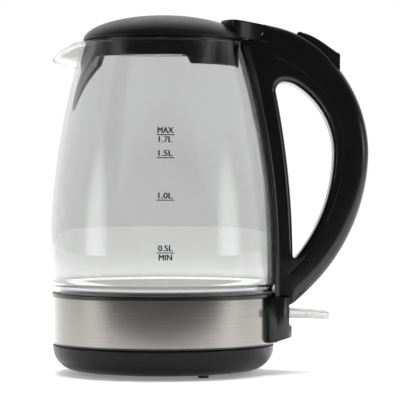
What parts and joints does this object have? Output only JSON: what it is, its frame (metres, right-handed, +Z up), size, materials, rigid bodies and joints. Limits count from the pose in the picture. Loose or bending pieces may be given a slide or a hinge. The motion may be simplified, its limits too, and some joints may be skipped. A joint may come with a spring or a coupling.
{
  "type": "electric kettle",
  "caption": "Glass electric kettle with a hinged lid, loop handle, on/off lever and a round power base that it lifts off.",
  "frame": {"origin": "on the jug's axis, in the plane that the feet stand on", "axes": "+Z up along the jug's axis, +X to the handle, -X to the spout, +Y to the back where the cord gland is"},
  "size_m": [0.2155, 0.1532, 0.2419],
  "materials": {
    "base_plastic": "satin black",
    "handle_plastic": "gloss black",
    "lid_plastic": "satin black",
    "collar_plastic": "semi-gloss black",
    "connector_plastic": "matt black",
    "foot_rubber": "matt",
    "clear_silicone": "translucent",
    "jug_glass": "clear borosilicate",
    "clear_plastic": "clear",
    "band_steel": "brushed round the jug",
    "heater_steel": "polished",
    "mesh_steel": "fine mesh",
    "screw_steel": "zinc plated",
    "cast_aluminium": "cast",
    "contact_brass": "bright"
  },
  "bodies": {
    "power_base": {"base_cover": "base_plastic", "base_plate": "base_plastic", "base_feet": "foot_rubber", "base_screws": "screw_steel", "cord_gland": "base_plastic"},
    "connector": {"base_connector": "connector_plastic", "base_contacts": "contact_brass"},
    "jug": {"glass_jug": "jug_glass", "glass_seal": "clear_silicone", "heater_plate": "heater_steel", "heat_spreader": "cast_aluminium", "heating_element": "heater_steel", "control_unit": "connector_plastic", "bimetal_disc": "heater_steel", "jug_contacts": "contact_brass", "control_screws": "screw_steel", "jug_bottom_cover": "handle_plastic", "steel_band": "band_steel", "upper_ring": "handle_plastic", "handle_frame": "handle_plastic", "handle_cover": "handle_plastic", "handle_screws": "screw_steel", "steam_tube": "clear_silicone", "switch_housing": "handle_plastic", "lever_pin": "screw_steel", "switch_block": "connector_plastic", "indicator_lamp": "clear_plastic", "neck_collar": "collar_plastic", "spout_filter": "collar_plastic", "filter_mesh": "mesh_steel", "hinge_pin": "screw_steel", "lid_spring": "screw_steel", "button_spring": "screw_steel"},
    "lid": {"lid_dome": "lid_plastic", "lid_underside": "collar_plastic", "lid_gasket": "clear_silicone", "lid_screws": "screw_steel", "lid_arm": "lid_plastic"},
    "button": {"release_button": "lid_plastic"},
    "latch": {"lid_latch": "connector_plastic"},
    "lever": {"switch_lever": "clear_plastic"}
  },
  "joints": [
    {"name": "jug_turn", "type": "hinge", "parent": "power_base", "child": "connector", "pos_m": [0, 0, 0.02], "axis": [0, 0, 1], "continuous": true},
    {"name": "jug_lift", "type": "slide", "parent": "connector", "child": "jug", "axis": [0, 0, 1], "range_m": [0, 0.06]},
    {"name": "lid_open", "type": "hinge", "parent": "jug", "child": "lid", "pos_m": [0.0598, 0, 0.2326], "axis": [0, 1, 0], "range_deg": [0, 78]},
    {"name": "button_press", "type": "hinge", "parent": "jug", "child": "button", "pos_m": [0.0919, 0, 0.2284], "axis": [0, 1, 0], "range_deg": [0, 7], "stiffness_Nm_per_rad": 1, "springref_deg": -2.86, "deforming": ["button_spring"]},
    {"name": "latch_slide", "type": "slide", "parent": "jug", "child": "latch", "axis": [-1, 0, 0], "range_m": [0, 0.0012]},
    {"name": "lever_rock", "type": "hinge", "parent": "jug", "child": "lever", "pos_m": [0.078, 0, 0.0396], "axis": [0, 1, 0], "range_deg": [0, 12]}
  ],
  "couplings": [
    {"joint": "latch_slide", "follows": "button_press", "m_per_rad": 0.0085}
  ]
}
